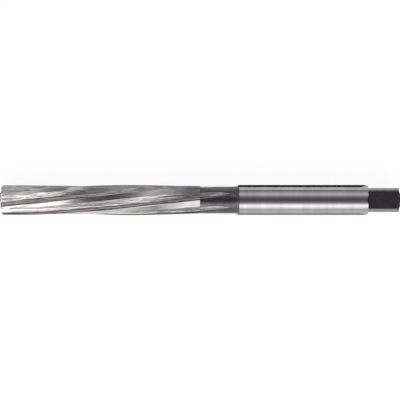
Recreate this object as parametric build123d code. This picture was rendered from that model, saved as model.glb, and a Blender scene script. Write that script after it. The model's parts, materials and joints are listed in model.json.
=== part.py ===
from build123d import *
import math
import os

# Hand reamer ground from one bar: left-hand spiral flutes for right-hand cutting, a relieved neck,
# a plain shank and a driving square. Millimetres, with X along the axis from the cutting end to the
# square and Z up. The origin is under the middle of the length, on the surface that it lies on.

# Lengths along the axis
overall_length = 133.0
front_boss_length = 0.5
cutting_length = 66.0
taper_lead_length = 16.5
neck_length = 12.0
square_length = 10.2
rear_boss_length = 0.6

# Diameters and the square
cutting_diameter = 10.0
lead_start_diameter = 9.8
neck_diameter = 9.0
shank_diameter = 10.0
square_across_flats = 8.0
square_corner_diameter = 9.9
front_boss_diameter = 5.0
rear_boss_diameter = 5.4

# Edge breaks
tooth_chamfer = 0.6
shank_front_taper = 0.7
shank_end_taper = 0.6
square_shoulder_bevel = 0.3
square_end_chamfer = 0.5
rear_boss_bevel = 0.3

# Centre holes
centre_pilot_diameter = 1.6
centre_mouth_diameter = 3.35
centre_cone_angle = 60.0
centre_pilot_depth = 1.8

# Teeth and flutes: angles about the axis run from straight up towards +Y, the way the edges cut.
# The root diameter is where the cutting face and the heel line would meet without the root radius.
tooth_count = 6
spacing_step = 2.0
helix_angle = 7.0
first_edge_angle = -29.4
root_diameter = 6.2
root_fillet = 0.4
land_width = 1.8
margin_width = 0.2
relief_angle = 8.0
wheel_radius = 42.0

# Ground clearances of the cutting solids, and sections along a flute's run-out
clearance = 1.0
run_out_sections = 6

# Derived radii and stations
cutting_radius = cutting_diameter / 2
shank_radius = shank_diameter / 2
neck_radius = neck_diameter / 2
corner_radius = square_corner_diameter / 2
root_radius = root_diameter / 2
axis_height = max(cutting_radius, shank_radius)
clear_radius = axis_height + clearance
cutting_end = front_boss_length + cutting_length
neck_end = cutting_end + neck_length
rear_face = overall_length - rear_boss_length
square_start = rear_face - square_length
lead_per_degree = math.pi * cutting_diameter / math.tan(math.radians(helix_angle)) / 360
relief_drop = (land_width - margin_width) * math.tan(math.radians(relief_angle))


def station(distance):
    """Cross-section plane at a distance from the tip, its own axes along +Y and +Z."""
    origin = (distance - overall_length / 2, 0, axis_height)
    return Plane(origin=origin, x_dir=(0, 1, 0), z_dir=(1, 0, 0))


def polar(radius, angle):
    """Point of a cross-section, with the angle from straight up towards +Y."""
    turn = math.radians(angle)
    return Vector(radius * math.sin(turn), radius * math.cos(turn))


def edge_angle(index):
    """Angle of one cutting edge at the tip: opposite edges face each other, the others are uneven."""
    closer = spacing_step if index % max(tooth_count // 2, 1) else 0
    return first_edge_angle + 360 / tooth_count * index - closer


def turned_blank():
    """The reamer before its flutes and flats are cut, turned about its axis."""
    front_radius = lead_start_diameter / 2
    boss_radius = rear_boss_diameter / 2
    profile = [
        (0, 0),
        (0, front_boss_diameter / 2),
        (front_boss_length, front_boss_diameter / 2),
        (front_boss_length, front_radius - tooth_chamfer),
        (front_boss_length + tooth_chamfer, front_radius),
        (front_boss_length + taper_lead_length, cutting_radius),
        (cutting_end, cutting_radius),
        (cutting_end, neck_radius),
        (neck_end, neck_radius),
        (neck_end + shank_front_taper, shank_radius),
        (square_start - shank_end_taper, shank_radius),
        (square_start, corner_radius),
        (rear_face - square_end_chamfer, corner_radius),
        (rear_face, corner_radius - square_end_chamfer),
        (rear_face, boss_radius),
        (overall_length - rear_boss_bevel, boss_radius),
        (overall_length, boss_radius - rear_boss_bevel),
        (overall_length, 0),
    ]
    placed = [Vector(x - overall_length / 2, 0, axis_height + r) for x, r in profile]
    half_section = make_face(Polyline(*placed, close=True))
    return revolve(half_section, Axis((0, 0, axis_height), (1, 0, 0)))


def flute_section(edge, pitch, lift=0.0):
    """Ground space in front of one edge: radial face, root, heel, relieved land of the next tooth."""
    heel = edge + pitch - math.degrees(land_width / cutting_radius)
    margin = edge + pitch - math.degrees(margin_width / cutting_radius)
    corners = [
        polar(clear_radius, edge),
        polar(root_radius, edge),
        polar(cutting_radius - relief_drop, heel),
        polar(cutting_radius, margin),
        polar(clear_radius, margin),
    ]
    outline = make_face(Polyline(*corners, close=True))
    root = outline.vertices().sort_by_distance(corners[1])[0]
    return Pos(*polar(lift, edge)) * fillet(root, root_fillet)


def flute(edge, pitch):
    """One flute: it follows the helix along the cutting part and rises out through the neck."""
    start = front_boss_length - clearance
    section = (station(start) * flute_section(edge + start / lead_per_degree, pitch)).face()
    length = cutting_end - start
    straight = Solid.extrude_linear_with_rotation(
        section, station(start).origin, (length, 0, 0), -length / lead_per_degree
    )
    rise = neck_radius - root_radius + clearance / 2
    run_out = math.sqrt(wheel_radius**2 - (wheel_radius - rise) ** 2)
    rings = []
    for step in range(run_out_sections):
        beyond = run_out * step / (run_out_sections - 1)
        lift = wheel_radius - math.sqrt(wheel_radius**2 - beyond**2)
        distance = cutting_end + beyond
        section = flute_section(edge + distance / lead_per_degree, pitch, lift)
        rings.append((station(distance) * section).face().outer_wire())
    return straight + Solid.make_loft(rings)


def flat_cutter(side):
    """Metal removed from one side of the shank to leave a flat of the driving square."""
    half = square_across_flats / 2
    wall = square_start
    profile = [
        (wall, half),
        (wall, shank_radius - square_shoulder_bevel),
        (wall - square_shoulder_bevel - clearance, shank_radius + clearance),
        (overall_length + clearance, shank_radius + clearance),
        (overall_length + clearance, half),
    ]
    placed = [Vector(x - overall_length / 2, 0, r) for x, r in profile]
    slab = extrude(make_face(Polyline(*placed, close=True)), clear_radius, dir=(0, 1, 0), both=True)
    return Pos(0, 0, axis_height) * Rot(90 * side, 0, 0) * slab


def centre_hole():
    """Centre hole drilled from a face at the origin, going in along +X."""
    slope = math.tan(math.radians(centre_cone_angle / 2))
    cone_depth = (centre_mouth_diameter - centre_pilot_diameter) / 2 / slope
    bottom = cone_depth + centre_pilot_depth
    mouth_radius = centre_mouth_diameter / 2 + clearance * slope
    profile = [
        (-clearance, 0),
        (-clearance, mouth_radius),
        (cone_depth, centre_pilot_diameter / 2),
        (bottom, centre_pilot_diameter / 2),
        (bottom + centre_pilot_diameter / 2 * slope, 0),
    ]
    placed = [Vector(x, 0, r) for x, r in profile]
    return revolve(make_face(Polyline(*placed, close=True)), Axis.X)


reamer = turned_blank()
edges = [edge_angle(index) for index in range(tooth_count)] + [edge_angle(0) + 360]
for edge, next_edge in zip(edges, edges[1:]):
    reamer -= flute(edge, next_edge - edge)
for side in range(4):
    reamer -= flat_cutter(side)
front_centre = centre_hole()
reamer -= Pos(-overall_length / 2, 0, axis_height) * front_centre
reamer -= Pos(overall_length / 2, 0, axis_height) * Rot(0, 180, 0) * front_centre

os.makedirs("parts", exist_ok=True)
export_step(reamer, "parts/hand_reamer.step")
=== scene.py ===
import json
import math

import bmesh
import bpy
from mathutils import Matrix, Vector


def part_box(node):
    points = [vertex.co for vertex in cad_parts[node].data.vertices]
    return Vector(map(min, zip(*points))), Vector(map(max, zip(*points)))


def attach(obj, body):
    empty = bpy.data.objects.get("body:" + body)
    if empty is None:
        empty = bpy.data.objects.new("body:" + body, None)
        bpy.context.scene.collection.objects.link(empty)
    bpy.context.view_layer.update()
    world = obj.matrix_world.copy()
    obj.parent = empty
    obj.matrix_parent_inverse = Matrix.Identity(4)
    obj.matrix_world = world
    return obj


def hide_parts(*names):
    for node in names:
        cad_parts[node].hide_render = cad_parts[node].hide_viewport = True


bl_info = {
    "name": "Hand reamer",
    "version": (1, 0, 0),
    "blender": (4, 5, 0),
    "location": "3D View > Sidebar > Reamer",
    "description": "Grinds the visible surface of a hand reamer around its solid and lights it",
    "category": "Object",
}

MM = 0.001
NODE = "hand_reamer"

# Places that the packed solid gives: its ends, its axis and the mounts on it
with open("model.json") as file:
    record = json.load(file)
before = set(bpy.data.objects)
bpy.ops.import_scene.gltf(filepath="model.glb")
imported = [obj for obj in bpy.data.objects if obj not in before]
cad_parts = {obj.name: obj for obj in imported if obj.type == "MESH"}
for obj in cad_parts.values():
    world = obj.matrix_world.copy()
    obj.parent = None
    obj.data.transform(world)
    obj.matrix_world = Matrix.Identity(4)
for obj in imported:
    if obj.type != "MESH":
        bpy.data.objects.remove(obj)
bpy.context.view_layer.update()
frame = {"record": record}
low_corner, high_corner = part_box(NODE)
mounts = {mount["name"]: mount for mount in frame["record"]["mounts"]}
TIP_X = low_corner.x
OVERALL_LENGTH = high_corner.x - low_corner.x
AXIS_HEIGHT = mounts["shank"]["pos_m"][2]
SHANK_RADIUS = mounts["shank"]["dims"]["r_mm"] * MM
FLAT_HEIGHT = mounts["drive_flat_up"]["pos_m"][2] - AXIS_HEIGHT

# Points along each stretch from one edge to the next. The hollow goes down the cutting face, round
# the root and up the heel, and the land over the heel's tip, the relief and the margin and down the
# tip of the next cutting face.
WALL_STEPS = 3
ROOT_STEPS = 16
HEEL_STEPS = 8
HEEL_TIP_STEPS = 3
RELIEF_STEPS = 6
MARGIN_STEPS = 4
WALL_TIP_STEPS = 3
HOLLOW_STEPS = WALL_STEPS + ROOT_STEPS + HEEL_STEPS
LAND_STEPS = HEEL_TIP_STEPS + RELIEF_STEPS + MARGIN_STEPS + WALL_TIP_STEPS

# Places on a flute's ground outline: the top of the cutting face, both ends of the root, and a place
# as far past the heel as the heel is from the root
FACE_TOP, ROOT_START, ROOT_END, PAST_HEEL = 0, 1, 2, 4

# The top of the cutting face's line against the radius of the teeth, and how deep under the chamfer
# the hollow of a flute starts at the tip
FACE_TOP_SHARE = 1.2
SPLIT_DEPTH = 0.1 * MM

# Rings along the teeth, on their chamfer and along the run-out of the flutes
STATION_STEP = 0.5 * MM
CHAMFER_RINGS = 4
RUN_OUT_RINGS = 24

# The square's flats, and the points round a flat and round a corner
FLAT_COUNT = 4
FLAT_STEPS = 24
CORNER_STEPS = 8
QUARTER_TURN = math.pi / 2

# Halvings in a search, the gap that is welded shut and the angle from which an edge looks sharp
BISECTIONS = 40
WELD_DISTANCE = 1e-7
SHARP_ANGLE = math.radians(8)

# Material slots of the reamer's mesh, in order
FLUTES, LANDS, SHANK, NECK, SQUARE, CORNERS, CENTRE, RUN_OUT = range(8)

# Marks in the steel: their size along the reamer, their size across it and their octaves of detail
WHEEL_STREAKS = (7.0 * MM, 0.7 * MM, 3.0)
WHEEL_BURNISH = (3.0 * MM, 0.5 * MM, 2.0)
WHEEL_SCRATCHES = (4.0 * MM, 0.09 * MM, 2.0)
GRINDING_TINTS = (14.0 * MM, 1.6 * MM, 1.0)
SHANK_LINES = (0.12 * MM, 6.0 * MM, 3.0)
SHANK_BANDS = (2.5 * MM, 20.0 * MM, 2.0)
OXIDE_MOTTLE = (1.3 * MM, 0.8 * MM, 4.0)
NECK_LINES = (0.15 * MM, 5.0 * MM, 2.0)
SQUARE_LINES = (3.0 * MM, 0.12 * MM, 2.0)
CENTRE_RINGS = (0.1 * MM, 3.0 * MM, 2.0)

# Depth of the finest marks
SCRATCH_DEPTH = 0.0016 * MM
SHANK_LINE_DEPTH = 0.0012 * MM
OXIDE_LINE_DEPTH = 0.002 * MM
CENTRE_RING_DEPTH = 0.002 * MM

# Values of the noise between which the steel goes from dark to bright, and where its tints change
STREAK_SPAN = (0.32, 0.68)
BAND_SPAN = (0.3, 0.7)
TINT_STOPS = (0.30, 0.45, 0.58, 0.75)

# Brightness of the shank's darkest and brightest bands and of a centre hole's darkest rings,
# against the steel's own colour
SHANK_SHADES = (0.93, 1.05)
CENTRE_SHADE = 0.6

# Lowest and highest roughness of a finish, as shares of its middle one
FLUTED_POLISH = (0.7, 1.3)
SHANK_POLISH = (0.85, 1.15)
OXIDE_POLISH = (0.85, 1.2)


def length(name, description, millimetres):
    """A length property whose default is given in millimetres."""
    return bpy.props.FloatProperty(
        name=name, description=description, default=millimetres * MM, unit="LENGTH", precision=5
    )


def angle(name, description, degrees):
    """An angle property whose default is given in degrees."""
    return bpy.props.FloatProperty(
        name=name, description=description, default=math.radians(degrees), subtype="ANGLE"
    )


def level(name, description, default, highest=10.0):
    """A plain number that isn't negative, such as a roughness or a brightness."""
    return bpy.props.FloatProperty(
        name=name, description=description, default=default, min=0.0, max=highest
    )


def colour(name, description, default):
    """A linear colour property."""
    return bpy.props.FloatVectorProperty(
        name=name, description=description, default=default, subtype="COLOR", min=0.0, max=1.0
    )


class ReamerSizes(bpy.types.PropertyGroup):
    """Sizes of the turned body and the driving square."""

    front_boss_length: length("Front boss length", "Boss that stands ahead of the teeth", 0.5)
    cutting_length: length("Cutting length", "Length of the fluted part", 66.0)
    lead_length: length("Taper lead", "Part of the teeth that tapers towards the tip", 16.5)
    neck_length: length("Neck length", "Relieved part behind the flutes", 12.0)
    square_length: length("Square length", "Length of the driving square", 10.2)
    rear_boss_length: length("Rear boss length", "Boss behind the driving square", 0.6)
    lead_diameter: length("Lead diameter", "Diameter over the teeth at the tip", 9.8)
    cutting_diameter: length("Cutting diameter", "Diameter over the teeth behind the lead", 10.0)
    neck_diameter: length("Neck diameter", "Diameter of the relieved neck", 9.0)
    corner_diameter: length("Square corner diameter", "Diameter over the corners of the square", 9.9)
    front_boss_diameter: length("Front boss diameter", "Diameter of the front boss", 5.0)
    rear_boss_diameter: length("Rear boss diameter", "Diameter of the rear boss", 5.4)
    tooth_chamfer: length("Tooth chamfer", "Chamfer at the front corner of the teeth", 0.6)
    shank_front_taper: length("Shank front taper", "Length of the step from neck to shank", 0.7)
    skin_overlap: length("Skin overlap", "How far the neck's dark skin reaches onto the shank", 0.3)
    shank_end_taper: length("Shank end taper", "Length of the fine taper ahead of the square", 0.6)
    shoulder_bevel: length("Shoulder bevel", "Bevel where each flat starts", 0.3)
    square_chamfer: length("Square chamfer", "Chamfer at the end of the square", 0.5)
    boss_bevel: length("Boss bevel", "Bevel at the end of the rear boss", 0.3)
    mouth_diameter: length("Centre mouth", "Diameter of a centre hole at the face", 3.35)
    pilot_diameter: length("Centre pilot", "Diameter of a centre hole's pilot", 1.6)
    pilot_depth: length("Pilot depth", "Depth of the pilot behind the cone", 1.8)
    centre_angle: angle("Centre angle", "Included angle of the centre holes", 60.0)


class ToothForm(bpy.types.PropertyGroup):
    """How the flutes and lands are ground."""

    count: bpy.props.IntProperty(name="Teeth", description="Number of teeth", default=6, min=2)
    spacing_step: angle("Spacing step", "How much closer one pair of edges stands", 2.0)
    helix_angle: angle("Helix angle", "Left-hand slope of the flutes", 7.0)
    first_edge: angle("First edge", "Angle of the first edge at the tip", -29.4)
    front_root_diameter: length("Front root", "Diameter where face and heel meet at the tip", 5.5)
    rear_root_diameter: length("Rear root", "Diameter where face and heel meet at the neck", 8.3)
    front_fillet: length("Front root radius", "Radius at the bottom of a flute at the tip", 1.5)
    rear_fillet: length("Rear root radius", "Radius at the bottom of a flute at the neck", 0.8)
    front_land_width: length("Front land width", "Width of the relieved land at the tip", 1.35)
    rear_land_width: length("Rear land width", "Width of the relieved land at the neck", 2.5)
    margin_width: length("Margin width", "Width of the round margin at the edge", 0.2)
    front_relief: angle("Front relief", "How steeply the land falls from margin to heel at the tip", 6.5)
    rear_relief: angle("Rear relief", "How steeply the land falls from margin to heel at the neck", 7.5)
    wheel_radius: length("Wheel radius", "Radius of the grinding wheel at the run-out", 130.0)
    wheel_lean: angle("Wheel lean", "Lean of the leaving wheel from the edge into the flute", 30.0)


class SteelFinish(bpy.types.PropertyGroup):
    """Colours and polish of the steel."""

    ground_colour: colour("Ground steel", "Colour of the teeth", (0.426, 0.402, 0.404))
    warm_colour: colour("Warm tint", "Grinding tint in the flutes", (0.452, 0.396, 0.376))
    cool_colour: colour("Cool tint", "Oil tint in the flutes", (0.398, 0.390, 0.418))
    run_out_colour: colour("Run-out", "Tint where the flutes end in the neck", (0.205, 0.175, 0.166))
    shank_colour: colour("Shank steel", "Colour of the shank", (0.410, 0.400, 0.414))
    oxide_colour: colour("Dark oxide", "Colour of the neck, flats and ends", (0.108, 0.103, 0.116))
    flute_roughness: level("Flute roughness", "Polish of the flutes", 0.32, 1.0)
    land_roughness: level("Land roughness", "Polish of the lands", 0.12, 1.0)
    shank_roughness: level("Shank roughness", "Polish of the shank", 0.16, 1.0)
    oxide_roughness: level("Oxide roughness", "Polish of the dark skin", 0.30, 1.0)
    corner_brightness: level("Corner brightness", "How bright the square's corners are", 0.74, 1.0)
    flute_contrast: level("Flute contrast", "How much the streaks in the flutes differ", 0.36, 1.0)
    land_contrast: level("Land contrast", "How much the streaks on the lands differ", 0.15, 1.0)
    # Painted light along the teeth: their brightness against their colour at the tip, at the neck and
    # where the flutes run out in the neck
    tip_painted_light: level("Tip shine", "How bright the teeth are at the tip, against their colour", 1.27)
    rear_painted_light: level("Rear shine", "How bright the teeth are at the neck, against their colour", 0.83)
    neck_painted_light: level("End shine", "How bright the flutes are in the neck, against their colour", 1.0)
    neck_contrast: level("Neck contrast", "How much the dark skin of the neck differs", 0.20, 1.0)
    square_contrast: level("Square contrast", "How much the skin of the square differs", 0.08, 1.0)
    flute_marks: length("Flute marks", "Depth of the wheel marks in the flutes", 0.20)
    land_marks: length("Land marks", "Depth of the wheel marks on the lands", 0.03)


class StudioSettings(bpy.types.PropertyGroup):
    """Floor, light and camera."""

    floor_colour: colour("Floor colour", "Colour of the pale floor", (0.17, 0.17, 0.17))
    floor_glow: level("Floor whiteness", "What the eye and mirrors see besides the light on it", 0.90)
    floor_radius: length("Floor radius", "Radius of the round floor", 1500.0)
    rim_height: length("Rim height", "Height of the floor's upturned rim", 150.0)
    frame_width: length("Frame width", "Width of the object plane that the camera takes in", 133.0)
    camera_height: length("Camera height", "Height of the camera above the floor", 800.0)


SETTINGS = {
    "reamer_sizes": ReamerSizes,
    "reamer_teeth": ToothForm,
    "reamer_finish": SteelFinish,
    "reamer_studio": StudioSettings,
}

# Light level of the studio's tent, by degrees about the reamer's axis from overhead towards +Y:
# the near wall, the long softbox, the dark card round the camera, the fill and the far wall
TENT_LEVELS = {
    -90: 0.88,
    -80: 0.68,
    -70: 1.28,
    -60: 1.92,
    -52: 2.25,
    -42: 2.32,
    -35: 1.68,
    -27: 0.78,
    -20: 0.33,
    -11: 0.20,
    5: 0.15,
    12: 0.16,
    25: 0.34,
    38: 0.90,
    44: 0.96,
    57: 0.76,
    72: 0.36,
    90: 0.28,
}

# Where the tent is darker than this level, its light is faintly violet
DARK_CARD_LEVEL = 0.5
DARK_CARD_TINT = (1.07, 1.0, 1.12)
WHITE = (1.0, 1.0, 1.0)

# Cards that lie over the floor and are only mirrored: distances from the tip, places from under the
# axis towards +Y, both in millimetres, and brightness. The far ones show on the reamer's far flank
# and the near ones on its near flank. The black and dim ones are painted shadow: a dark floor beside
# the reamer, where its shadow falls, as mirrors see it.
CARD_HEIGHT = 0.2 * MM
CARDS = {
    # Painted shade: dim floor beside the teeth on the far side, as mirrors see it
    "tooth_far_painted_shade": ((-20.0, 66.5), (5.0, 60.0), 0.46),
    "tooth_near_card": ((-20.0, 66.5), (-70.0, -10.0), 1.3),
    # Painted shadow: black floor where the shank's shadow falls, as mirrors see it
    "shank_painted_shadow": ((78.8, 121.9), (5.0, 19.0), 0.0),
    # Painted shadow: dim floor in the contact shadow beside the shank's near flank
    "shank_near_painted_shadow": ((78.8, 121.7), (-15.0, -5.0), 0.42),
    # Painted shadow: black floor in the contact shadow beside the tip's near flank
    "tip_near_painted_shadow": ((0.0, 14.0), (-9.0, -5.0), 0.0),
}

# Bright card that leans outwards on the near side of the cutting end: distances of its ends from
# the tip, the place of its foot towards +Y, and its top (towards +Y, up)
TIP_CARD_ENDS = (-24.0 * MM, 26.0 * MM)
TIP_CARD_FOOT = -24.0 * MM
TIP_CARD_TOP = (-40.0 * MM, 14.0 * MM)
TIP_CARD_LEVEL = 3.6

# Black card that stands across the axis behind the driving square
REAR_CARD_GAP = 12.0 * MM
REAR_CARD_HALF_WIDTH = 14.0 * MM
REAR_CARD_TOP = 16.0 * MM

# Points round the floor, and the nearest and farthest distance that the camera shows
FLOOR_STEPS = 96
CAMERA_CLIP = (10.0 * MM, 5000.0 * MM)


def polar(radius, turn):
    """Point of a cross-section (towards +Y, up), with the angle from straight up towards +Y."""
    return Vector((radius * math.sin(turn), radius * math.cos(turn)))


def turn_of(point):
    """Angle of a cross-section's point from straight up towards +Y."""
    return math.atan2(point.x, point.y)


def spread(start, end, steps):
    """Evenly spaced values or points from start on, without the end itself."""
    return [start + (end - start) * (step / steps) for step in range(steps)]


def stations(start, end):
    """Distances from start on, about one station step apart, without the end itself."""
    return spread(start, end, round((end - start) / STATION_STEP))


def between(front, rear, share):
    """Size at a share of the cutting length, from the one at the tip to the one at the neck."""
    return front + (rear - front) * share


def reach(start, end, radius):
    """End of a line that starts inside a circle, or the point where it leaves the circle."""
    if end.length <= radius:
        return end.copy()
    way = end - start
    along = start.dot(way)
    under_root = max(along**2 - way.length_squared * (start.length_squared - radius**2), 0.0)
    return start + way * ((math.sqrt(under_root) - along) / way.length_squared)


def mesh_object(name, mesh):
    """Turns a finished mesh into an object of the scene."""
    data = bpy.data.meshes.new(name)
    mesh.to_mesh(data)
    mesh.free()
    obj = bpy.data.objects.new(name, data)
    bpy.context.scene.collection.objects.link(obj)
    return obj


def teeth_end(sizes):
    """Distance from the tip to where the teeth end and the neck starts."""
    return sizes.front_boss_length + sizes.cutting_length


class Flute:
    """Space ground between two edges, in a section turned so that its own edge points straight up."""

    def __init__(self, teeth, cutting_radius, pitch, share):
        land_width = between(teeth.front_land_width, teeth.rear_land_width, share)
        relief = between(teeth.front_relief, teeth.rear_relief, share)
        heel_drop = (land_width - teeth.margin_width) * math.tan(relief)
        self.pitch = pitch
        self.fillet = between(teeth.front_fillet, teeth.rear_fillet, share)
        self.face_top = Vector((0.0, cutting_radius * FACE_TOP_SHARE))
        self.wheel = teeth.wheel_radius
        self.way_out = polar(1.0, teeth.wheel_lean)
        self.heel = polar(cutting_radius - heel_drop, pitch - land_width / cutting_radius)
        self.margin = polar(cutting_radius, pitch - teeth.margin_width / cutting_radius)
        # The root is an arc that touches the cutting face and the line up to the heel. Its angle
        # runs from half a turn, at the face, on through the sweep.
        corner = Vector((0.0, between(teeth.front_root_diameter, teeth.rear_root_diameter, share) / 2))
        up = Vector((0.0, 1.0))
        along = (self.heel - corner).normalized()
        half = up.angle(along) / 2
        tangent = self.fillet / math.tan(half)
        self.wall_foot = corner + up * tangent
        self.heel_foot = corner + along * tangent
        self.centre = corner + (up + along).normalized() * (self.fillet / math.sin(half))
        self.sweep = math.pi + math.atan2(-along.x, along.y)

    def outline(self, place, lift):
        """Point of the ground outline at a place on it, with the wheel lifted by that much."""
        if place <= ROOT_START:
            point = self.face_top.lerp(self.wall_foot, place)
        elif place <= ROOT_END:
            around = math.pi + self.sweep * (place - ROOT_START)
            point = self.centre + self.fillet * Vector((math.cos(around), math.sin(around)))
        else:
            point = self.heel_foot + (self.heel - self.heel_foot) * (place - ROOT_END)
        return point + self.way_out * lift

    def deepest(self, lift):
        """Place on the outline that comes nearest to the axis."""
        towards_axis = -(self.centre + self.way_out * lift)
        inward = math.atan2(towards_axis.y, towards_axis.x) % math.tau
        return ROOT_START + min(max((inward - math.pi) / self.sweep, 0.0), 1.0)

    def crossing(self, outside, lift, radius):
        """Place between the deepest one and an outer one where the outline crosses a circle."""
        inside = self.deepest(lift)
        for _ in range(BISECTIONS):
            middle = (inside + outside) / 2
            if self.outline(middle, lift).length < radius:
                inside = middle
            else:
                outside = middle
        return outside

    def hollow(self, lift, radius):
        """Points of the flute below a circle, and the point where its heel comes up through it."""
        down = self.crossing(FACE_TOP, lift, radius)
        rise = self.crossing(PAST_HEEL, lift, radius)
        points = []
        for first, last, steps in (
            (FACE_TOP, ROOT_START, WALL_STEPS),
            (ROOT_START, ROOT_END, ROOT_STEPS),
            (ROOT_END, PAST_HEEL, HEEL_STEPS),
        ):
            start = min(max(first, down), rise)
            end = min(max(last, down), rise)
            points += [self.outline(place, lift) for place in spread(start, end, steps)]
        return points, self.outline(rise, lift)

    def toothed(self, radius, split):
        """Points from one edge to the next at full depth: the hollow up to a split circle, then the
        heel, the land and the margin in teeth of that outer radius."""
        points, rise = self.hollow(0.0, split)
        heel = reach(rise, self.heel, radius)
        points += spread(rise, heel, HEEL_TIP_STEPS)
        if self.heel.length < radius:
            margin = reach(self.heel, self.margin, radius)
            points += spread(heel, margin, RELIEF_STEPS)
        else:
            margin = self.margin
            turns = spread(turn_of(heel), turn_of(margin), RELIEF_STEPS)
            points += [polar(radius, turn) for turn in turns]
        turns = spread(turn_of(margin), self.pitch, MARGIN_STEPS)
        points += [polar(radius, turn) for turn in turns]
        return points + spread(polar(radius, self.pitch), polar(split, self.pitch), WALL_TIP_STEPS)

    def gone(self, radius):
        """Lift at which the root just leaves a bar of that radius."""
        along = self.centre.dot(self.way_out)
        outer = (radius + self.fillet) ** 2
        return math.sqrt(along**2 - self.centre.length_squared + outer) - along

    def fading(self, radius, beyond):
        """Points from one edge to the next in the neck, where the wheel leaves the steel."""
        lift = min(self.wheel - math.sqrt(self.wheel**2 - beyond**2), self.gone(radius))
        points, rise = self.hollow(lift, radius)
        turns = spread(turn_of(rise), self.pitch, LAND_STEPS)
        return points + [polar(radius, turn) for turn in turns]


class Skin:
    """Closed surface of the reamer, laid ring by ring from the front centre hole to the rear one."""

    def __init__(self):
        self.mesh = bmesh.new()

    def ring(self, distances, points):
        """Vertices at those distances from the tip: one for all the points, or one for each."""
        if isinstance(distances, float):
            distances = [distances] * len(points)
        return [
            self.mesh.verts.new((TIP_X + distance, point.x, AXIS_HEIGHT + point.y))
            for distance, point in zip(distances, points)
        ]

    def face(self, corners, zone):
        """One face with its material slot."""
        self.mesh.faces.new(corners).material_index = zone

    def join(self, near, far, zones):
        """Quads between two rings of one count. zones is a slot, or a slot for each point."""
        count = len(near)
        for here in range(count):
            there = (here + 1) % count
            zone = zones if isinstance(zones, int) else zones[here]
            self.face((near[here], near[there], far[there], far[here]), zone)

    def bridge(self, near, far, zone):
        """Triangles between two rings of different counts, in step with their angles."""
        near_turns = self.turns(near)
        closest = min(range(len(far)), key=lambda index: self.apart(far[index], near[0]))
        far = far[closest:] + far[:closest]
        far_turns = self.turns(far)
        offset = round((far_turns[0] - near_turns[0]) / math.tau) * math.tau
        far_turns = [turn - offset for turn in far_turns]
        # Each triangle takes in the next point of one ring, whichever comes first by its angle
        here = there = 0
        while here < len(near) or there < len(far):
            start, end = near[here % len(near)], far[there % len(far)]
            near_left, far_left = here < len(near), there < len(far)
            if not far_left or (near_left and near_turns[here + 1] <= far_turns[there + 1]):
                here += 1
                self.face((start, near[here % len(near)], end), zone)
            else:
                there += 1
                self.face((start, far[there % len(far)], end), zone)

    def cap(self, ring, distance, zone):
        """Fan of triangles to a point on the axis."""
        pole = self.ring(distance, [Vector((0.0, 0.0))])[0]
        for here in range(len(ring)):
            self.face((ring[here], ring[(here + 1) % len(ring)], pole), zone)

    @staticmethod
    def turns(ring):
        """Angles round a ring, rising from its first point back to it after a full turn."""
        turns = [math.atan2(ring[0].co.y, ring[0].co.z - AXIS_HEIGHT)]
        for vertex in ring[1:] + ring[:1]:
            turn = math.atan2(vertex.co.y, vertex.co.z - AXIS_HEIGHT)
            step = (turn - turns[-1] + math.pi) % math.tau - math.pi
            turns.append(turns[-1] + step)
        return turns

    @staticmethod
    def apart(one, other):
        """How far two vertices differ in angle about the axis."""
        angles = [math.atan2(v.co.y, v.co.z - AXIS_HEIGHT) for v in (one, other)]
        return abs((angles[0] - angles[1] + math.pi) % math.tau - math.pi)

    def finish(self, name, lead):
        """Welds the rings, checks that the surface is closed and returns it as an object."""
        bmesh.ops.remove_doubles(self.mesh, verts=self.mesh.verts, dist=WELD_DISTANCE)
        bmesh.ops.dissolve_degenerate(self.mesh, edges=self.mesh.edges, dist=WELD_DISTANCE)
        bmesh.ops.recalc_face_normals(self.mesh, faces=self.mesh.faces)
        if any(not edge.is_manifold for edge in self.mesh.edges):
            raise RuntimeError("the reamer's surface isn't closed")
        self.store_grinding_path(lead)
        body = mesh_object(name, self.mesh)
        body.data.shade_smooth()
        body.data.set_sharp_from_angle(angle=SHARP_ANGLE)
        return body

    def store_grinding_path(self, lead):
        """Gives each vertex its place in the reamer as if it had no twist, for the wheel's marks."""
        path = self.mesh.verts.layers.float_vector.new("grinding_path")
        for vertex in self.mesh.verts:
            distance = vertex.co.x - TIP_X
            section = Vector((vertex.co.y, vertex.co.z - AXIS_HEIGHT))
            straight = polar(section.length, turn_of(section) - distance / lead)
            vertex[path] = (distance, straight.x, straight.y)


def square_turns(half_flat):
    """Angles of a ring whose points meet the ends of the square's four flats."""
    turns = []
    for side in range(FLAT_COUNT):
        middle = side * QUARTER_TURN
        turns += spread(middle - half_flat, middle + half_flat, FLAT_STEPS)
        turns += spread(middle + half_flat, middle + QUARTER_TURN - half_flat, CORNER_STEPS)
    return turns


def off_flat(turn):
    """How far an angle lies from the middle of the nearest flat."""
    return turn - round(turn / QUARTER_TURN) * QUARTER_TURN


def flattened(turn, radius, flat):
    """Point of a round bar with four flats, on the ray at an angle."""
    return polar(min(radius, flat / math.cos(off_flat(turn))), turn)


def square_zones():
    """Material slots round the square: dark flats and brighter corner strips."""
    return ([SQUARE] * FLAT_STEPS + [CORNERS] * CORNER_STEPS) * FLAT_COUNT


def lay_centre_hole(skin, sizes, turns, face, inward):
    """Rings of one centre hole from its bottom to its mouth, for a face at that distance."""
    slope = math.tan(sizes.centre_angle / 2)
    pilot, mouth = sizes.pilot_diameter / 2, sizes.mouth_diameter / 2
    cone = (mouth - pilot) / slope
    bottom = cone + sizes.pilot_depth
    rings = [
        skin.ring(face + inward * depth, [polar(radius, turn) for turn in turns])
        for depth, radius in ((bottom, pilot), (cone, pilot), (0.0, mouth))
    ]
    skin.cap(rings[0], face + inward * (bottom + pilot * slope), CENTRE)
    skin.join(rings[0], rings[1], CENTRE)
    skin.join(rings[1], rings[2], CENTRE)
    return rings[2]


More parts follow.
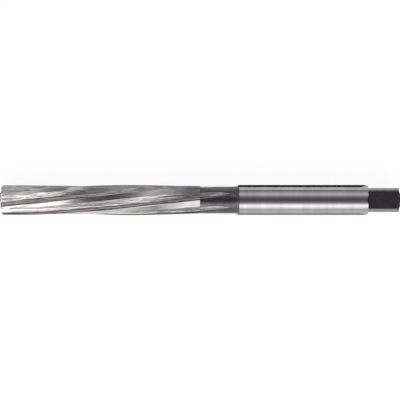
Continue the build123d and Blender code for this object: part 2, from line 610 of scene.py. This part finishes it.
def lay_turned(skin, ring, turns, steps):
    """Continues a ring through turned steps of (distance, radius, material slot)."""
    for distance, radius, zone in steps:
        following = skin.ring(distance, [polar(radius, turn) for turn in turns])
        skin.join(ring, following, zone)
        ring = following
    return ring


def tooth_pitches(teeth):
    """Pitches round the reamer: opposite edges face each other, the others are uneven."""
    half = max(teeth.count // 2, 1)
    edges = [
        math.tau / teeth.count * index - (teeth.spacing_step if index % half else 0.0)
        for index in range(teeth.count)
    ]
    return [after - before for before, after in zip(edges, edges[1:] + [math.tau])]


def lay_cutting_part(skin, sizes, teeth, lead):
    """Rings of the teeth and of the flutes' run-out. Returns the first and the last ring."""
    cutting_radius, neck_radius = sizes.cutting_diameter / 2, sizes.neck_diameter / 2
    tip_radius = sizes.lead_diameter / 2
    first_radius = tip_radius - sizes.tooth_chamfer
    front, end = sizes.front_boss_length, teeth_end(sizes)
    pitches = tooth_pitches(teeth)

    def flutes_at(distance):
        """The flutes as they are at a distance: they change evenly from the tip to the neck."""
        share = min((distance - front) / sizes.cutting_length, 1.0)
        return [Flute(teeth, cutting_radius, pitch, share) for pitch in pitches]

    def placed(outlines, distance):
        """One ring from the outlines of all flutes, each turned to its own edge."""
        points = []
        edge = teeth.first_edge + distance / lead
        for pitch, outline in zip(pitches, outlines):
            points += [polar(point.length, turn_of(point) + edge) for point in outline]
            edge += pitch
        return skin.ring(distance, points)

    def toothed_ring(distance):
        """Ring of the full teeth, with the chamfer and the taper lead."""
        behind = distance - front
        radius = min(first_radius + behind, tip_radius)
        if behind > sizes.tooth_chamfer:
            taper = (behind - sizes.tooth_chamfer) / (sizes.lead_length - sizes.tooth_chamfer)
            radius += (cutting_radius - tip_radius) * min(taper, 1.0)
        split = between(first_radius - SPLIT_DEPTH, neck_radius, behind / sizes.cutting_length)
        return placed([flute.toothed(radius, split) for flute in flutes_at(distance)], distance)

    chamfer_end = front + sizes.tooth_chamfer
    lead_end = front + sizes.lead_length
    distances = spread(front, chamfer_end, CHAMFER_RINGS) + stations(chamfer_end, lead_end)
    distances += stations(lead_end, end) + [end]
    rings = [toothed_ring(distance) for distance in distances]
    land_zones = [FLUTES] * HEEL_TIP_STEPS + [LANDS] * (LAND_STEPS - HEEL_TIP_STEPS)
    zones = ([FLUTES] * HOLLOW_STEPS + land_zones) * len(pitches)
    for near, far in zip(rings, rings[1:]):
        skin.join(near, far, zones)

    flutes = flutes_at(end)
    tinted = [RUN_OUT] * (WALL_STEPS + ROOT_STEPS) + [FLUTES] * HEEL_STEPS
    zones = (tinted + [NECK] * LAND_STEPS) * len(pitches)
    highest = max(flute.gone(neck_radius) for flute in flutes)
    run_out = math.sqrt(teeth.wheel_radius**2 - (teeth.wheel_radius - highest) ** 2)
    for beyond in spread(0.0, run_out, RUN_OUT_RINGS) + [run_out]:
        outlines = [flute.fading(neck_radius, beyond) for flute in flutes]
        rings.append(placed(outlines, end + beyond))
        skin.join(rings[-2], rings[-1], zones)
    return rings[0], rings[-1]


def lay_shoulder(skin, sizes, ring, turns, wall):
    """Rear end of the shank, with the bevels where the flats start. Returns the ring at their wall."""
    corner = sizes.corner_diameter / 2
    bevel_height = SHANK_RADIUS - sizes.shoulder_bevel
    taper = (SHANK_RADIUS - corner) / sizes.shank_end_taper
    ring = lay_turned(skin, ring, turns, [(wall - sizes.shank_end_taper, SHANK_RADIUS, SHANK)])
    distances, edge, foot = [], [], []
    for turn in turns:
        # How far ahead of the wall a bevel of 45 degrees comes up through the tapered shank
        tilt = math.cos(off_flat(turn))
        back = max((corner * tilt - bevel_height) / (1 - taper * tilt), 0.0)
        radius = corner + taper * back
        distances.append(wall - back)
        edge.append(polar(radius, turn))
        foot.append(flattened(turn, radius, bevel_height) if back else polar(radius, turn))
    edge_ring = skin.ring(distances, edge)
    foot_ring = skin.ring(wall, foot)
    root_ring = skin.ring(wall, [flattened(turn, corner, FLAT_HEIGHT) for turn in turns])
    skin.join(ring, edge_ring, SHANK)
    skin.join(edge_ring, foot_ring, SHANK)
    skin.join(foot_ring, root_ring, SQUARE)
    return root_ring


def lay_square(skin, sizes, ring, turns):
    """Shoulder, driving square and rear face. Returns the ring at the rear boss and its angles."""
    corner = sizes.corner_diameter / 2
    rear_face = OVERALL_LENGTH - sizes.rear_boss_length
    root_ring = lay_shoulder(skin, sizes, ring, turns, rear_face - sizes.square_length)

    end_radius = corner - sizes.square_chamfer
    end_turns = square_turns(math.acos(FLAT_HEIGHT / end_radius))
    straight_end = rear_face - sizes.square_chamfer
    last = skin.ring(straight_end, [flattened(turn, corner, FLAT_HEIGHT) for turn in turns])
    end_ring = skin.ring(rear_face, [flattened(turn, end_radius, FLAT_HEIGHT) for turn in end_turns])
    skin.join(root_ring, last, square_zones())
    skin.join(last, end_ring, SQUARE)
    boss_radius = sizes.rear_boss_diameter / 2
    boss_ring = skin.ring(rear_face, [polar(boss_radius, turn) for turn in end_turns])
    skin.join(end_ring, boss_ring, SQUARE)
    return boss_ring, end_turns


def build_body(sizes, teeth):
    """The whole reamer as one closed mesh."""
    lead = sizes.cutting_diameter / 2 / math.tan(teeth.helix_angle)
    turns = square_turns(math.acos(FLAT_HEIGHT / (sizes.corner_diameter / 2)))
    skin = Skin()

    mouth = lay_centre_hole(skin, sizes, turns, face=0.0, inward=1)
    boss_radius = sizes.front_boss_diameter / 2
    boss = lay_turned(
        skin, mouth, turns, [(0.0, boss_radius, SHANK), (sizes.front_boss_length, boss_radius, SHANK)]
    )
    first, last = lay_cutting_part(skin, sizes, teeth, lead)
    skin.bridge(boss, first, FLUTES)

    neck_end = teeth_end(sizes) + sizes.neck_length
    step_end = neck_end + sizes.shank_front_taper
    skin_end = step_end + sizes.skin_overlap
    neck_radius = sizes.neck_diameter / 2
    neck = skin.ring(neck_end, [polar(neck_radius, turn) for turn in turns])
    skin.bridge(last, neck, NECK)
    shank = lay_turned(
        skin, neck, turns, [(step_end, SHANK_RADIUS, NECK), (skin_end, SHANK_RADIUS, NECK)]
    )
    boss, turns = lay_square(skin, sizes, shank, turns)

    rear_radius = sizes.rear_boss_diameter / 2
    rear_steps = [
        (OVERALL_LENGTH - sizes.boss_bevel, rear_radius, SQUARE),
        (OVERALL_LENGTH, rear_radius - sizes.boss_bevel, SQUARE),
        (OVERALL_LENGTH, sizes.mouth_diameter / 2, SQUARE),
    ]
    lay_centre_hole(skin, sizes, turns, face=OVERALL_LENGTH, inward=-1)
    lay_turned(skin, boss, turns, rear_steps)
    return skin.finish("reamer_body", lead)


def shaded(tone, factor):
    """A colour made darker or brighter by a factor."""
    return [channel * factor for channel in tone]


def fill_ramp(node, stops):
    """Gives a fresh colour ramp its stops of (place, colour), in rising order."""
    elements = node.color_ramp.elements
    elements.remove(elements[1])
    (first_place, first_tone), *others = stops
    elements[0].position = first_place
    elements[0].color = (*first_tone, 1.0)
    for place, tone in others:
        elements.new(place).color = (*tone, 1.0)


class MarkedSteel:
    """A steel material with its grinding marks, built from nodes."""

    def __init__(self, name, roughness):
        self.material = bpy.data.materials.new(name)
        self.material.use_nodes = True
        self.nodes = self.material.node_tree.nodes
        self.link = self.material.node_tree.links.new
        self.shader = self.nodes["Principled BSDF"]
        self.shader.inputs["Metallic"].default_value = 1.0
        self.shader.inputs["Roughness"].default_value = roughness

    def along_grinding(self):
        """Coordinates that follow the flutes, as if the reamer had no twist."""
        node = self.nodes.new("ShaderNodeAttribute")
        node.attribute_name = "grinding_path"
        return node.outputs["Vector"]

    def around_axis(self):
        """Coordinates fixed in the reamer."""
        return self.nodes.new("ShaderNodeTexCoord").outputs["Object"]

    def noise(self, place, marks):
        """Noise in the form of the marks: their size along the reamer, across it, and their detail."""
        along, across, detail = marks
        mapping = self.nodes.new("ShaderNodeMapping")
        mapping.inputs["Scale"].default_value = (1 / along, 1 / across, 1 / across)
        self.link(place, mapping.inputs["Vector"])
        texture = self.nodes.new("ShaderNodeTexNoise")
        texture.inputs["Scale"].default_value = 1.0
        texture.inputs["Detail"].default_value = detail
        self.link(mapping.outputs["Vector"], texture.inputs["Vector"])
        return texture.outputs["Fac"]

    def share_along(self, place, whole):
        """How far a place lies along X, as a share of a whole length, up to 1."""
        parts = self.nodes.new("ShaderNodeSeparateXYZ")
        self.link(place, parts.inputs[0])
        span = self.nodes.new("ShaderNodeMapRange")
        span.inputs["From Max"].default_value = whole
        self.link(parts.outputs["X"], span.inputs["Value"])
        return span.outputs["Result"]

    def ramp(self, value, stops):
        """Colour or grey by a value, from stops of (place, colour)."""
        node = self.nodes.new("ShaderNodeValToRGB")
        fill_ramp(node, stops)
        self.link(value, node.inputs["Fac"])
        return node.outputs["Color"]

    def product(self, one, other):
        """Two colours multiplied channel by channel."""
        node = self.nodes.new("ShaderNodeVectorMath")
        node.operation = "MULTIPLY"
        self.link(one, node.inputs[0])
        self.link(other, node.inputs[1])
        return node.outputs["Vector"]

    def colour(self, output):
        """The steel's own colour."""
        self.link(output, self.shader.inputs["Base Color"])

    def roughness(self, value, middle, shares):
        """Polish that varies with a value, from a low to a high share of a middle roughness."""
        low, high = shares
        span = self.nodes.new("ShaderNodeMapRange")
        span.inputs["To Min"].default_value = middle * low
        span.inputs["To Max"].default_value = middle * high
        self.link(value, span.inputs["Value"])
        self.link(span.outputs["Result"], self.shader.inputs["Roughness"])

    def marks(self, value, depth):
        """Fine marks of that depth in metres, over any that were laid before."""
        bump = self.nodes.new("ShaderNodeBump")
        bump.inputs["Strength"].default_value = 1.0
        bump.inputs["Distance"].default_value = depth
        self.link(value, bump.inputs["Height"])
        normal = self.shader.inputs["Normal"]
        if normal.is_linked:
            self.link(normal.links[0].from_socket, bump.inputs["Normal"])
        self.link(bump.outputs["Normal"], normal)


def fluted_steel(name, tints, painted_light_by_distance, roughness, streak_depth, contrast):
    """Steel with wheel marks along the helix, darker and brighter streaks, and three faint tints. Its
    colour is also scaled by its distance from the tip, against its own colour: painted light, brighter
    at the cutting end and darker towards the neck."""
    made = MarkedSteel(name, roughness)
    path = made.along_grinding()
    streaks = made.noise(path, WHEEL_STREAKS)
    burnish = made.noise(path, WHEEL_BURNISH)
    scratches = made.noise(path, WHEEL_SCRATCHES)
    tint = made.noise(path, GRINDING_TINTS)
    cool, plain, warm = tints
    tinted = made.ramp(tint, list(zip(TINT_STOPS, (cool, plain, plain, warm))))
    shades = [shaded(WHITE, factor) for factor in (1 - contrast, 1 + contrast)]
    streaked = made.product(tinted, made.ramp(burnish, list(zip(STREAK_SPAN, shades))))
    # Painted light: a ramp from the tip to the neck makes the steel brighter at the cutting end and
    # darker towards the neck
    end = max(painted_light_by_distance)
    levels = [(distance / end, shaded(WHITE, brightness)) for distance, brightness in painted_light_by_distance.items()]
    fading = made.ramp(made.share_along(path, end), levels)
    made.colour(made.product(streaked, fading))
    made.roughness(streaks, roughness, FLUTED_POLISH)
    made.marks(streaks, streak_depth)
    made.marks(scratches, SCRATCH_DEPTH)
    return made.material


def turned_steel(finish, name, share):
    """Steel with fine marks round it from cylindrical grinding, at a share of its brightness."""
    made = MarkedSteel(name, finish.shank_roughness)
    place = made.around_axis()
    lines = made.noise(place, SHANK_LINES)
    bands = made.noise(place, SHANK_BANDS)
    steel = shaded(finish.shank_colour, share)
    shades = [shaded(steel, factor) for factor in SHANK_SHADES]
    made.colour(made.ramp(bands, list(zip(BAND_SPAN, shades))))
    made.roughness(lines, finish.shank_roughness, SHANK_POLISH)
    made.marks(lines, SHANK_LINE_DEPTH)
    return made.material


def oxide_steel(finish, name, tool_marks, contrast):
    """Dark heat-treated skin with tool marks of that form and darker and brighter patches."""
    made = MarkedSteel(name, finish.oxide_roughness)
    place = made.around_axis()
    mottle = made.noise(place, OXIDE_MOTTLE)
    lines = made.noise(place, tool_marks)
    shades = [shaded(finish.oxide_colour, factor) for factor in (1 - contrast, 1 + contrast)]
    made.colour(made.ramp(mottle, list(zip(STREAK_SPAN, shades))))
    made.roughness(mottle, finish.oxide_roughness, OXIDE_POLISH)
    made.marks(lines, OXIDE_LINE_DEPTH)
    return made.material


def centre_steel(finish):
    """Drilled and lapped centre holes."""
    made = MarkedSteel("centre_hole_steel", finish.shank_roughness)
    rings = made.noise(made.around_axis(), CENTRE_RINGS)
    shades = (shaded(finish.ground_colour, CENTRE_SHADE), finish.ground_colour)
    made.colour(made.ramp(rings, list(zip(BAND_SPAN, shades))))
    made.marks(rings, CENTRE_RING_DEPTH)
    return made.material


def reamer_steels(sizes, finish):
    """The materials of the whole reamer, in the order of the mesh's slots."""
    ground = (finish.cool_colour, finish.ground_colour, finish.warm_colour)
    run_out = [finish.run_out_colour] * 3
    in_flutes = (finish.flute_roughness, finish.flute_marks, finish.flute_contrast)
    on_lands = (finish.land_roughness, finish.land_marks, finish.land_contrast)
    end = teeth_end(sizes)
    # Painted light along the teeth, by distance from the tip: brighter at the tip, darker at the neck,
    # plain in the run-out
    painted_light_by_distance = {0.0: finish.tip_painted_light, end: finish.rear_painted_light, end + STATION_STEP: finish.neck_painted_light}
    return (
        fluted_steel("flute_steel", ground, painted_light_by_distance, *in_flutes),
        fluted_steel("land_steel", ground, painted_light_by_distance, *on_lands),
        turned_steel(finish, "shank_ground_steel", 1.0),
        oxide_steel(finish, "neck_dark_oxide", NECK_LINES, finish.neck_contrast),
        oxide_steel(finish, "square_dark_oxide", SQUARE_LINES, finish.square_contrast),
        turned_steel(finish, "corner_ground_steel", finish.corner_brightness),
        centre_steel(finish),
        fluted_steel("run_out_steel", run_out, painted_light_by_distance, *in_flutes),
    )


class REAMER_OT_body(bpy.types.Operator):
    """Builds the reamer's visible surface and gives each part of it its finish"""

    bl_idname = "reamer.body"
    bl_label = "Grind the reamer"

    def execute(self, context):
        scene = context.scene
        body = build_body(scene.reamer_sizes, scene.reamer_teeth)
        for material in reamer_steels(scene.reamer_sizes, scene.reamer_finish):
            body.data.materials.append(material)
        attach(body, "root")
        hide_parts(NODE)
        return {"FINISHED"}


def floor_paper(studio):
    """Pale paper that takes shadows, and looks white to the eye and in mirrors and glass."""
    material = bpy.data.materials.new("pale_paper")
    material.use_nodes = True
    nodes, link = material.node_tree.nodes, material.node_tree.links.new
    nodes.clear()
    path = nodes.new("ShaderNodeLightPath")
    shown = path.outputs["Is Camera Ray"]
    for ray in ("Is Glossy Ray", "Is Transmission Ray"):
        either = nodes.new("ShaderNodeMath")
        either.operation = "MAXIMUM"
        link(shown, either.inputs[0])
        link(path.outputs[ray], either.inputs[1])
        shown = either.outputs[0]
    strength = nodes.new("ShaderNodeMath")
    strength.operation = "MULTIPLY"
    strength.inputs[1].default_value = studio.floor_glow
    link(shown, strength.inputs[0])
    glow = nodes.new("ShaderNodeEmission")
    link(strength.outputs[0], glow.inputs["Strength"])
    paper = nodes.new("ShaderNodeBsdfDiffuse")
    paper.inputs["Color"].default_value = (*studio.floor_colour, 1.0)
    both = nodes.new("ShaderNodeAddShader")
    link(paper.outputs[0], both.inputs[0])
    link(glow.outputs[0], both.inputs[1])
    output = nodes.new("ShaderNodeOutputMaterial")
    link(both.outputs[0], output.inputs["Surface"])
    return material


def lay_floor(studio):
    """Round pale floor with a low upturned rim."""
    mesh = bmesh.new()
    rings = [[mesh.verts.new((0, 0, 0))]]
    for radius, height in (
        (studio.floor_radius, 0.0),
        (studio.floor_radius + studio.rim_height / 2, studio.rim_height),
    ):
        places = [polar(radius, math.tau * step / FLOOR_STEPS) for step in range(FLOOR_STEPS)]
        rings.append([mesh.verts.new((place.x, place.y, height)) for place in places])
    for here in range(FLOOR_STEPS):
        there = (here + 1) % FLOOR_STEPS
        mesh.faces.new((rings[0][0], rings[1][there], rings[1][here]))
        mesh.faces.new((rings[1][here], rings[1][there], rings[2][there], rings[2][here]))
    floor = mesh_object("floor", mesh)
    floor.data.materials.append(floor_paper(studio))


def lay_card(name, corners, brightness):
    """Glowing or black card that only mirrors see. Its corners' x is their distance from the tip."""
    mesh = bmesh.new()
    mesh.faces.new([mesh.verts.new((TIP_X + x, y, z)) for x, y, z in corners])
    surface = bpy.data.materials.new(name)
    surface.use_nodes = True
    nodes = surface.node_tree.nodes
    nodes.clear()
    glow = nodes.new("ShaderNodeEmission")
    glow.inputs["Strength"].default_value = brightness
    output = nodes.new("ShaderNodeOutputMaterial")
    surface.node_tree.links.new(glow.outputs[0], output.inputs["Surface"])
    card = mesh_object(name, mesh)
    card.data.materials.append(surface)
    card.visible_camera = False
    card.visible_diffuse = False
    card.visible_shadow = False


def lay_low_cards():
    """Cards that lie over the floor on both sides of the reamer; the black and dim ones are painted
    shadow that only mirrors see.
    """
    for name, (along, across, brightness) in CARDS.items():
        (start, end), (near, far) = [[place * MM for place in pair] for pair in (along, across)]
        places = ((start, near), (end, near), (end, far), (start, far))
        lay_card(name, [(x, y, CARD_HEIGHT) for x, y in places], brightness)


def lay_tip_card():
    """Bright card that leans outwards beside the cutting end."""
    start, end = TIP_CARD_ENDS
    foot, top = (TIP_CARD_FOOT, CARD_HEIGHT), TIP_CARD_TOP
    corners = [(start, *foot), (end, *foot), (end, *top), (start, *top)]
    lay_card("tip_card", corners, TIP_CARD_LEVEL)


def lay_rear_card():
    """Black card that stands behind the driving square."""
    place, side = OVERALL_LENGTH + REAR_CARD_GAP, REAR_CARD_HALF_WIDTH
    foot, top = CARD_HEIGHT, REAR_CARD_TOP
    corners = [(place, -side, foot), (place, side, foot), (place, side, top), (place, -side, top)]
    lay_card("rear_card", corners, 0.0)


def light_tent():
    """World light: long soft strips that run parallel to the reamer, with a dark card overhead."""
    world = bpy.data.worlds.new("light_tent")
    world.use_nodes = True
    bpy.context.scene.world = world
    nodes, link = world.node_tree.nodes, world.node_tree.links.new
    direction = nodes.new("ShaderNodeTexCoord")
    parts = nodes.new("ShaderNodeSeparateXYZ")
    link(direction.outputs["Generated"], parts.inputs[0])
    around = nodes.new("ShaderNodeMath")
    around.operation = "ARCTAN2"
    link(parts.outputs["Y"], around.inputs[0])
    link(parts.outputs["Z"], around.inputs[1])
    span = nodes.new("ShaderNodeMapRange")
    span.inputs["From Min"].default_value = -math.pi
    span.inputs["From Max"].default_value = math.pi
    link(around.outputs[0], span.inputs["Value"])
    # The ramp goes once round, from straight down over the near wall and back to straight down
    stops = []
    for turn, brightness in TENT_LEVELS.items():
        tint = DARK_CARD_TINT if brightness < DARK_CARD_LEVEL else WHITE
        stops.append(((turn + 180) / 360, shaded(tint, brightness)))
    ramp = nodes.new("ShaderNodeValToRGB")
    fill_ramp(ramp, stops)
    link(span.outputs["Result"], ramp.inputs["Fac"])
    link(ramp.outputs["Color"], nodes["Background"].inputs["Color"])


def place_camera(studio):
    """Long lens straight above, with the cutting end on the left and +Y up in the picture."""
    data = bpy.data.cameras.new("camera")
    data.lens = data.sensor_width * (studio.camera_height - AXIS_HEIGHT) / studio.frame_width
    data.clip_start, data.clip_end = CAMERA_CLIP
    camera = bpy.data.objects.new("camera", data)
    camera.location = (TIP_X + OVERALL_LENGTH / 2, 0.0, studio.camera_height)
    bpy.context.scene.collection.objects.link(camera)
    bpy.context.scene.camera = camera


class REAMER_OT_stage(bpy.types.Operator):
    """Lays the pale floor, lights it with a soft tent and places the camera above the reamer"""

    bl_idname = "reamer.stage"
    bl_label = "Set the stage"

    def execute(self, context):
        studio = context.scene.reamer_studio
        lay_floor(studio)
        lay_low_cards()
        lay_tip_card()
        lay_rear_card()
        light_tent()
        place_camera(studio)
        context.scene.view_settings.view_transform = "Standard"
        return {"FINISHED"}


class REAMER_PT_panel(bpy.types.Panel):
    """Lists the reamer's operators and sizes"""

    bl_idname = "REAMER_PT_panel"
    bl_label = "Hand reamer"
    bl_space_type = "VIEW_3D"
    bl_region_type = "UI"
    bl_category = "Reamer"

    def draw(self, context):
        self.layout.operator(REAMER_OT_body.bl_idname)
        self.layout.operator(REAMER_OT_stage.bl_idname)
        for name, group in SETTINGS.items():
            box = self.layout.box()
            box.label(text=group.__doc__)
            settings = getattr(context.scene, name)
            for field in group.__annotations__:
                box.prop(settings, field)


CLASSES = (*SETTINGS.values(), REAMER_OT_body, REAMER_OT_stage, REAMER_PT_panel)


def register():
    """Registers the classes and gives each scene its settings."""
    for kind in CLASSES:
        bpy.utils.register_class(kind)
    for name, group in SETTINGS.items():
        setattr(bpy.types.Scene, name, bpy.props.PointerProperty(type=group))


def unregister():
    """Takes the settings from the scenes again, and then the classes."""
    for name in SETTINGS:
        delattr(bpy.types.Scene, name)
    for kind in reversed(CLASSES):
        bpy.utils.unregister_class(kind)


def main():
    """Builds the reamer and its stage."""
    register()
    bpy.ops.reamer.body()
    bpy.ops.reamer.stage()


if __name__ == "__main__":
    main()
